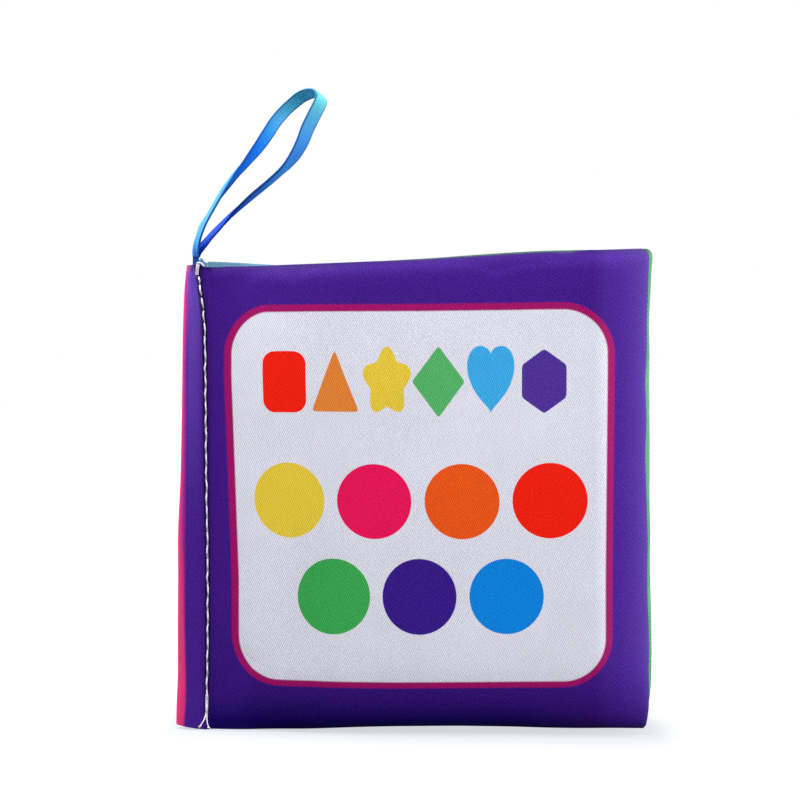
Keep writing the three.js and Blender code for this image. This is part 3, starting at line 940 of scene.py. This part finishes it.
def cloth_material(name, painter):
    """Printed twill. painter gives the print's colour from the wiring and the cloth's millimetres."""
    material, w = new_material(name)
    uv = cloth_place(w)
    mm = in_mm(w, uv)
    twill = w.node("Group", uv, node_tree=TWILL).outputs
    worn = w.node("Group", uv, node_tree=WORN).outputs[0]
    shaded = w.mix(1.0, painter(w, mm), twill["Shade"], "MULTIPLY")
    # painted glints: the colour lightened towards a paler tint where the floats catch the light
    glinting = w.mix(twill["Glint"], shaded, w.node("Gamma", shaded, 0.5).outputs[0])
    across, up, _ = w.split(mm)
    off_seam = w.range(w.math("ABSOLUTE", across), 4.0, 10.0)
    rubbed = w.times(w.times(worn, off_seam), 0.06)
    # painted light along the edges and on the spine: a multiplier and a pale painted sheen
    lift, painted_sheen = painted_edge_light(w, across, up)
    with_painted_edge_light = w.mix(1.0, glinting, lift, "MULTIPLY")
    # rubbed wear and painted sheen, both lightening the colour towards a pale tint
    lightened = w.mix(w.plus(rubbed, painted_sheen), with_painted_edge_light, (0.75, 0.73, 0.78, 1))
    # painted shade: the cloth in the crease under the stitches darkened towards a deep purple
    creased = w.times(w.node("Attribute", attribute_name="crease").outputs["Fac"], 0.85)
    w.surface(twill["Height"], 0.7, 0.00006, {
        "Base Color": w.mix(creased, lightened, linear(12, 2, 44)),
        "Roughness": w.scaled(twill["Height"], -0.16, 0.65),
        "Sheen Weight": 0.04,
        "Sheen Roughness": 0.3,
        "Specular IOR Level": 0.07,
    })
    return material


# ---------------------------------------------------------------- prints
def from_centre(w, mm, centre, shape):
    """The way from a point, shrunk by a shape's width and height."""
    return w.vector("MULTIPLY", w.vector("SUBTRACT", mm, (*centre, 0)), (1 / shape[0], 1 / shape[1], 0))


def rounded_box(w, mm, centre, size, radius):
    off = w.vector("ABSOLUTE", w.vector("SUBTRACT", mm, (*centre, 0)))
    over = w.vector("SUBTRACT", off, (size[0] / 2 - radius, size[1] / 2 - radius, 0))
    x, z, _ = w.split(over)
    outside = w.vector("LENGTH", w.vector("MAXIMUM", over, (0, 0, 0)))
    inside = w.math("MINIMUM", w.math("MAXIMUM", x, z), 0.0)
    return w.minus(w.plus(outside, inside), radius)


def disc(w, mm, centre, radius):
    return w.minus(w.vector("DISTANCE", mm, (*centre, 0)), radius)


def polygon(w, mm, centre, reach, corners, turn, rounding, stretch):
    """A regular polygon with rounded corners; reach is the distance to its sides."""
    off = from_centre(w, mm, centre, (1.0, stretch))
    total = None
    for k in range(corners):
        angle = turn + 2 * math.pi * k / corners
        side = w.vector("DOT_PRODUCT", off, (math.cos(angle), math.sin(angle), 0))
        total = side if total is None else w.math("SMOOTH_MAX", total, side, rounding)
    return w.minus(total, reach)


def star(w, mm, centre, reach, points, depth, stretch):
    """A fat star with soft points."""
    off = from_centre(w, mm, centre, (1.0, stretch))
    x, z, _ = w.split(off)
    ripple = w.math("COSINE", w.times(w.math("ARCTAN2", x, z), float(points)))
    return w.minus(w.vector("LENGTH", off), w.scaled(ripple, depth * reach, reach))


def heart(w, mm, centre, size, stretch):
    low = (centre[0], centre[1] - size * 0.12)
    x, z, _ = w.split(from_centre(w, mm, low, (size, size * stretch)))
    side = w.math("ABSOLUTE", x)
    lifted = w.minus(w.times(z, 1.05), w.times(w.math("POWER", side, 0.55), 0.62))
    length = w.vector("LENGTH", w.node("CombineXYZ", side, lifted, 0.0).outputs[0])
    return w.times(w.minus(length, 1.0), size)


PURPLE = linear(57, 13, 131)
PINK = linear(224, 46, 114)
MAGENTA = linear(162, 6, 96)
PRINT_WHITE = linear(229, 229, 240)
PAINTED_FOOT_SHADE = linear(9, 0, 96)  # painted shade: the purple darkened where the cover turns away at its foot
YELLOW = linear(237, 204, 54)
ROSE = linear(242, 8, 83)
ORANGE = linear(243, 80, 12)
RED = linear(251, 20, 3)
GREEN = linear(52, 171, 76)
VIOLET = linear(48, 15, 134)
BLUE = linear(2, 130, 227)
SKY = linear(52, 170, 234)
LEAF_BLUE = linear(146, 210, 255)
TEAL = linear(60, 172, 160)
AMBER = linear(232, 128, 44)
LEAF_GREEN = linear(80, 180, 98)
PLUM = linear(72, 40, 148)

# The front cover's print, in millimetres of cloth from the seam and from the lower edge
PANEL = dict(centre=(51.12, 55.85), size=(91.25, 88.9), radius=11.9)
PANEL_FILL = dict(centre=(51.28, 55.72), size=(87.77, 85.75), radius=10.1)
DOT = 8.7
DOT_PLACES = (
    ((20.9, 54.6), YELLOW), ((41.3, 54.45), ROSE), ((61.8, 54.5), ORANGE), ((82.2, 54.75), RED),
    ((31.25, 32.45), GREEN), ((51.6, 32.5), VIOLET), ((72.05, 32.6), BLUE),
)
SHAPE_ROW = 82.15
SHAPE_PLACES = (20.6, 32.7, 44.8, 56.6, 68.6, 80.8)
PAGE_DOT = ((50.2, 57.0), 22.0)


def print_stretch(w, mm):
    """The printed cloth is pulled wider towards the top of the cover, and its lines bow a little."""
    across, height, _ = w.split(mm)
    up = w.math("SMOOTH_MIN", w.range(height, 36.0, 84.0, -1.0, 1.0), 1.0, 0.2)
    from_middle = w.times(w.minus(across, 51.0), 1 / 45.0)
    shift = w.times(up, w.scaled(from_middle, -0.625, 0.375))
    low = w.range(height, 10.0, 40.0, 1.0, 0.0)
    sag = w.times(low, w.range(from_middle, -0.1, 0.75, 0.43, -0.1))
    rise = w.times(w.range(across, 52.0, 86.0, 0.0, -0.35), w.range(height, 60.0, 90.0))
    return w.vector("ADD", mm, w.node("CombineXYZ", shift, w.plus(sag, rise), 0.0).outputs[0])


def shapes_row(w, mm, colour):
    """Six plain shapes in a row, one of each colour."""
    centres = [(x, SHAPE_ROW) for x in SHAPE_PLACES]
    below = (centres[1][0], centres[1][1] - 2.1)
    outlines = (
        (rounded_box(w, mm, centres[0], (10.6, 14.4), 3.0), RED),
        (polygon(w, mm, below, 3.2, 3, -math.pi / 2, 1.1, 1.5), AMBER),
        (star(w, mm, centres[2], 4.9, 5, 0.17, 1.42), YELLOW),
        (polygon(w, mm, centres[3], 4.3, 4, math.pi / 4, 0.9, 1.36), LEAF_GREEN),
        (heart(w, mm, centres[4], 5.4, 1.32), SKY),
        (polygon(w, mm, centres[5], 5.1, 6, 0.0, 0.9, 1.26), PLUM),
    )
    for outline, ink in outlines:
        colour = w.mix(w.inside(outline), colour, ink)
    return colour


def framed_panel(w, mm, ground, line):
    colour = w.mix(w.inside(rounded_box(w, mm, **PANEL), 0.35), ground, line)
    return w.mix(w.inside(rounded_box(w, mm, **PANEL_FILL), 0.35), colour, PRINT_WHITE)


def front_cover_print(w, mm):
    """The panel with its dots and shapes on purple, darkened by painted shade towards the foot of the cover and
    less so near its fore edge."""
    across, up, _ = w.split(mm)
    # painted shade towards the foot of the cover, less near its fore edge
    low = w.plus(w.range(up, 10.0, 30.0, 0.34, 0.0), w.range(up, 2.5, 9.0, 0.62, 0.0))
    share = w.times(low, w.range(across, 74.0, 94.0, 1.0, 0.35), clamp=True)
    ground = w.mix(share, PURPLE, PAINTED_FOOT_SHADE)
    mm = print_stretch(w, mm)
    colour = framed_panel(w, mm, ground, MAGENTA)
    for centre, ink in DOT_PLACES:
        colour = w.mix(w.inside(disc(w, mm, centre, DOT)), colour, ink)
    return shapes_row(w, mm, colour)


def page_print(ground, line, dot):
    """A panel in a line of its own colour, with one large dot."""
    def paint(w, mm):
        return w.mix(w.inside(disc(w, mm, *PAGE_DOT)), framed_panel(w, mm, ground, line), dot)
    return paint


def spine_print(w, mm):
    """Purple in front of the fold and pink behind it, meeting in a soft straight line."""
    across, up, _ = w.split(mm)
    uneven = w.noise(mm, 0.08, 2.0)
    further = w.math("MINIMUM", w.range(up, 10.0, 40.0, 0.5, 1.08), w.range(up, 88.0, 106.0, 1.08, 0.62))
    further = w.plus(further, w.range(up, 107.6, 110.0, 0.0, -1.5))
    past = w.plus(w.scaled(uneven, 0.2, across), further)
    crisp = w.range(past, -PRINT_TURN + 0.4, -PRINT_TURN - 0.25)
    soft = w.range(past, -PRINT_TURN + 0.9, -PRINT_TURN - 1.5)
    fuzzy = w.range(up, 22.0, 50.0)
    share = w.plus(w.times(crisp, w.minus(1.0, fuzzy)), w.times(soft, fuzzy))
    return w.mix(share, PURPLE, PINK)


def thread_material():
    material, w = new_material("sewing_thread")
    fibre = w.noise(w.vector("MULTIPLY", cloth_place(w), (14.0, 900.0, 1.0)), 1.0, 3.0, 0.6)
    w.surface(fibre, 0.6, 0.00006, {
        "Base Color": w.mix(fibre, (0.9, 0.87, 0.95, 1), (0.99, 0.95, 1.0, 1)),
        "Roughness": w.range(fibre, 0, 1, 0.75, 0.5),
        "Sheen Weight": 0.3,
        "Sheen Roughness": 0.4,
    })
    return material


def ribbon_material():
    """Satin with fine ribs, with painted light: paler at its bend as a painted highlight and deeper where it
    goes down again as painted shade.
    """
    material, w = new_material("ribbed_satin")
    mm = in_mm(w, cloth_place(w))
    across, along, _ = w.split(mm)
    ribs = w.wave(along, 2 * math.pi / RIB)
    threads = w.wave(across, 2 * math.pi / 0.16)
    patchy = w.noise(mm, 0.12, 2.0)
    middle = w.range(w.math("ABSOLUTE", w.minus(along, 52.0)), 6.0, 20.0)
    deep = w.mix(patchy, linear(20, 104, 206), linear(44, 138, 226))
    # painted highlight: the ribbon paler at its bend
    pale = w.mix(patchy, linear(70, 190, 208), linear(130, 218, 226))
    colour = w.mix(middle, pale, deep)
    # painted highlight and painted shade: lighter and deeper parts along the strands
    for part, ink in (((12.0, 24.0, 0.75, 0.0), linear(78, 146, 212)),
                      ((58.0, 68.0, 0.0, 0.6), linear(78, 156, 240)),
                      ((78.0, 92.0, 0.0, 0.95), linear(6, 50, 172))):
        colour = w.mix(w.range(along, *part), colour, ink)
    shaded = w.mix(w.scaled(ribs, -0.14, 0.14), colour, linear(10, 70, 160))
    selvedge = w.range(w.math("ABSOLUTE", across), 1.5, 1.72, 0.0, 0.75)
    w.surface(w.scaled(threads, 0.4, ribs), 0.25, 0.00004, {
        "Base Color": w.mix(selvedge, shaded, linear(14, 44, 120)),
        "Roughness": w.range(threads, 0, 1, 0.4, 0.5),
        "Sheen Weight": 0.02,
        "Sheen Tint": (0.3, 0.6, 1.0, 1),
        "Specular IOR Level": 0.03,
        "Specular Tint": (0.1, 0.42, 1.0, 1),
        "Anisotropic": 0.5,
    })
    return material


def filling_material(name, low, high, roughness, scale, relief, shine):
    material, w = new_material(name)
    fluff = w.noise(w.node("TexCoord").outputs["Object"], scale, 5.0, 0.65)
    w.surface(fluff, 1.0, relief, {
        "Base Color": w.mix(fluff, low, high),
        "Roughness": w.range(fluff, 0, 1, roughness - 0.08, roughness + 0.05),
        "Specular IOR Level": shine,
    })
    return material


# ---------------------------------------------------------------- camera
camera_data = bpy.data.cameras.new("camera")
camera_data.lens = 99.45
camera_data.sensor_width = 36
camera_data.clip_start, camera_data.clip_end = 0.01, 20
camera = linked("camera", camera_data)
camera.location = ((SEAM_X + 45.96) / 1000, -0.525, 0.0779)
camera.rotation_euler = (math.pi / 2, 0, 0)
bpy.context.scene.camera = camera

# ---------------------------------------------------------------- ribbon
RIBBON = ribbon_material()
THREAD = thread_material()
centre, (upper, lower), ribbon_uv, ribbon_length = ribbon_grid(RIBBON_ROUTE, 0.155)
ribbon = closed_form("ribbon_loop_satin", lower, upper, RIBBON, ribbon_uv)
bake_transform(ribbon)
stand_for(ribbon, "ribbon_loop")

# its two ends inside the seam, from their foot up to the top of the cloth
END_FOOT, END_TOP = 98, 112.9
end_z = np.linspace(END_FOOT, END_TOP, 60)
end_left = np.interp(end_z, (END_FOOT, 104, 109, END_TOP), (-3.4, -3.4, -3.3, -3.25))
end_right = np.interp(end_z, (END_FOOT, 106, 109, END_TOP), (-0.4, -0.6, -1.7, -1.85))
end_x = end_left[:, None] + (end_right - end_left)[:, None] * np.linspace(0, 1, 9)
end_y = 0.05 * np.cos(2 * math.pi * end_z / RIB)[:, None]
end_faces = [np.stack(np.broadcast_arrays(end_x, s * (0.22 + end_y), end_z[:, None]), -1) for s in (-1, 1)]
end_uv = np.stack(np.broadcast_arrays(end_x, end_z[:, None] - END_FOOT), -1) / 100
stand_for(closed_form("ribbon_ends_satin", *end_faces, RIBBON, end_uv), "ribbon_tail", "spine")

# ---------------------------------------------------------------- leaves
PAGES = {
    "front_cover_lining": ("green", linear(62, 138, 90), linear(20, 110, 60), GREEN),
    "front_leaf_outer_fabric": ("light_blue", LEAF_BLUE, BLUE, SKY),
    "front_leaf_inner_fabric": ("teal", TEAL, linear(10, 110, 110), TEAL),
    "back_leaf_inner_fabric": ("orange", AMBER, ORANGE, ORANGE),
    "back_leaf_outer_fabric": ("yellow", YELLOW, AMBER, YELLOW),
    "back_cover_lining": ("blue", BLUE, linear(10, 70, 170), BLUE),
    "back_cover_outer_fabric": ("pink", PINK, VIOLET, ROSE),
}
CLOTHS = {"front_cover_outer_fabric": cloth_material("printed_purple_twill", front_cover_print)}
for node, (ink, *colours) in PAGES.items():
    CLOTHS[node] = cloth_material(f"printed_{ink}_twill", page_print(*colours))
WADDING = filling_material("polyester_wadding", (0.8, 0.79, 0.76, 1), (0.93, 0.92, 0.9, 1),
                           roughness=0.95, scale=600.0, relief=0.0004, shine=0.2)
FILM = filling_material("crinkle_film", (0.72, 0.76, 0.79, 1), (0.86, 0.89, 0.91, 1),
                        roughness=0.22, scale=120.0, relief=0.0006, shine=0.5)

first_lines = {}
for leaf_name, nodes in (
    ("front_cover", ("front_cover_outer_fabric", "front_cover_lining")),
    ("front_leaf", ("front_leaf_outer_fabric", "front_leaf_inner_fabric")),
    ("back_leaf", ("back_leaf_inner_fabric", "back_leaf_outer_fabric")),
    ("back_cover", ("back_cover_lining", "back_cover_outer_fabric")),
):
    is_cover = "cover" in leaf_name
    outer = -1 if "front" in leaf_name else 1
    start, bend_end = (GUTTER[1], 7.0) if is_cover else (LEAF_START, 5.0)
    fields = map(refined, coarse_pillow(leaf_name, start))
    for side, node, field in zip((-1, 1), nodes, fields):
        piece, *first_lines[node] = leaf_sheet(leaf_name, side, start, node + "_twill", CLOTHS[node], field)
        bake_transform(piece)
        stand_for(piece, node)
    faces = [(side, UNDER_FILM if is_cover and side == outer else 0.0) for side in (-1, 1)]
    pad = leaf_filling(leaf_name, faces, WADDING, leaf_name + "_padding_wadding")
    stand_for(pad, leaf_name + "_padding", leaf_name)
    if is_cover:
        faces = [(outer, 0.0 if side == outer else FILM_THICKNESS) for side in (-1, 1)]
        film = leaf_filling(leaf_name, faces, FILM, leaf_name + "_film")
        stand_for(film, leaf_name + "_crinkle_film", leaf_name)

# ---------------------------------------------------------------- spine
SPINE_CLOTH = cloth_material("printed_spine_twill", spine_print)
for side, word, slot_name in ((-1, "front", "purple_twill"), (1, "back", "pink_twill")):
    cover_node = word + "_cover_outer_fabric"
    strip = gutter(word + "_gutter_fabric", side, CLOTHS[cover_node], *first_lines[cover_node])
    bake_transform(strip)

for layer, (node, material) in enumerate((
    ("spine_cover_fabric", SPINE_CLOTH),
    ("spine_cover_lining", CLOTHS["front_cover_lining"]),
    ("spine_leaf_outer_fabric", CLOTHS["front_leaf_outer_fabric"]),
    ("spine_leaf_inner_fabric", CLOTHS["front_leaf_inner_fabric"]),
)):
    piece = spine_layer(node + "_twill", layer, material)
    stand_for(piece, node, "spine")

# ---------------------------------------------------------------- threads
thread_piece("seam_needle_stitches", "seam_needle_thread",
             [twisted_thread(stitch_path(-1, 3.4, 107.0, 0.0, 3), THREAD_RADIUS)])
thread_piece("seam_bobbin_stitches", "seam_bobbin_thread",
             [twisted_thread(stitch_path(1, 3.4, 108.6, 0.1, 9), THREAD_RADIUS)])

# the overstitched start of the seam goes up and down nine times and ends at the top of the fold
TACK_FOOT, TACK_RISE = 107.65, 2.55
tack_route = []
tack_rng = np.random.default_rng(6)
for k in range(9):
    for share in (0.0, 0.3, 0.7, 1.0):
        z = TACK_FOOT + TACK_RISE * (1 - share if k % 2 else share) + tack_rng.uniform(-0.12, 0.12)
        lean = -0.42 + 0.24 * (z - TACK_FOOT)
        x = float(seam_drift(z)) + lean + 0.2 * math.sin(k * 2.1 + share) + tack_rng.uniform(-0.05, 0.05)
        lift = 0.3 + 0.3 * math.sin(math.pi * share) + 0.03 * k
        tack_route.append((x, -(face_at_seam(z, -1) + lift - (0.25 if share in (0.0, 1.0) else 0)), z))
tack_route += over_cloth(((-1.5, 110.3, 0.5), (-1.0, 110.15, 0.55), (-0.65, 109.85, 0.5), (-0.4, 109.45, 0.35)))
thread_piece("seam_backtack_stitches", "seam_backtack", [twisted_thread(smooth_path(tack_route, 0.2), 0.17)])

frayed_end("needle_thread_tail_frayed", "needle_thread_tail",
           over_cloth(((0.12, 8.2, 0.3), (0.06, 5.6, 0.45), (0.0, 3.6, 0.5), (-0.38, 2.3, 0.45),
                       (-0.92, 1.4, 0.35), (-1.25, 0.85, 0.35))), 5)
frayed_end("bobbin_thread_tail_frayed", "bobbin_thread_tail",
           over_cloth(((0.38, 8.0, 0.3), (0.36, 5.4, 0.4), (0.26, 3.3, 0.5), (0.32, 2.0, 0.5), (0.5, 1.2, 0.4),
                       (0.66, 0.8, 0.4))), 12)

# ---------------------------------------------------------------- stage
bpy.ops.mesh.primitive_plane_add(size=60, location=(0, 0, 0))
floor = bpy.context.object
floor.name = "floor"
floor.select_set(False)
floor_material, w = new_material("pale_floor")
floor_place = w.node("TexCoord").outputs["Object"]
grain = w.noise(floor_place, 40.0, 2.0)
pale = w.node("BsdfDiffuse", w.mix(grain, (0.117, 0.12, 0.125, 1), (0.123, 0.126, 0.131, 1)))
# the floor glows for the camera, less and bluer near the book's base: a painted soft shadow round the book
from_book = w.vector("ABSOLUTE", w.vector("SUBTRACT", floor_place, (0, 0.004, 0)))
beyond = w.vector("SUBTRACT", from_book, (0.0555, 0.01, 0))
away = w.vector("LENGTH", w.vector("MAXIMUM", beyond, (0, 0, 0)))
shadowed_glow = w.plus(w.range(away, 0.003, 0.03, 0.7, 0.78), w.range(away, 0.025, 0.06, 0.0, 0.4))
shadowed_glow = w.plus(shadowed_glow, w.range(w.split(beyond)[0], 0.001, 0.012, 0.0, 0.25))
shadow_tint = w.mix(w.range(away, 0.0, 0.03), (0.91, 0.93, 1.0, 1), (0.975, 0.985, 1.0, 1))
seen = w.node("AddShader", pale.outputs[0], w.node("Emission", shadow_tint, shadowed_glow).outputs[0])
dim = w.node("BsdfDiffuse", (0.07, 0.07, 0.09, 1))
straight_ray = w.node("LightPath").outputs["Is Camera Ray"]
w.node("OutputMaterial", w.node("MixShader", straight_ray, dim.outputs[0], seen.outputs[0]).outputs[0])
floor.data.materials.append(floor_material)

# a white room: brighter behind the book and above it than in front of it
world = bpy.data.worlds.new("studio")
bpy.context.scene.world = world
w = emptied(world)
_, back, up = w.split(w.node("TexCoord").outputs["Generated"])
room_light = w.times(w.range(back, -0.25, 0.5, 0.5, 1.0), w.range(up, 0.0, 0.9, 0.9, 1.25))
strength = w.math("MAXIMUM", room_light, w.node("LightPath").outputs["Is Camera Ray"])
w.node("OutputWorld", w.node("Background", (1, 1, 1, 1), strength).outputs[0])

for name, where, aim, size, power in (
    ("right_box", (0.6, -0.12, 0.24), (0, 0, 0.06), (0.35, 0.5), 4.1),
    ("left_box", (-0.2, 0.03, 0.33), (-0.05, 0, 0.08), (0.15, 0.15), 2.0),
    ("top_box", (0.0, -0.3, 0.42), (0, 0, 0.07), (0.3, 0.3), 0.75),
):
    light = bpy.data.lights.new(name, "AREA")
    light.shape = "RECTANGLE"
    light.size, light.size_y = size
    light.energy = power
    box = linked(name, light)
    box.location = where
    box.rotation_euler = (Vector(aim) - Vector(where)).to_track_quat("-Z", "Y").to_euler()
sun_data = bpy.data.lights.new("key_sun", "SUN")
sun_data.energy = 1.1
sun_data.angle = math.radians(50)
sun = linked("key_sun", sun_data)
sun.rotation_euler = Vector((0.08, -0.52, 0.84)).to_track_quat("Z", "Y").to_euler()

view = bpy.context.scene.view_settings
view.view_transform = "Standard"
view.look = "None"
view.exposure = 0.0
view.gamma = 1.0

bpy.context.view_layer.update()
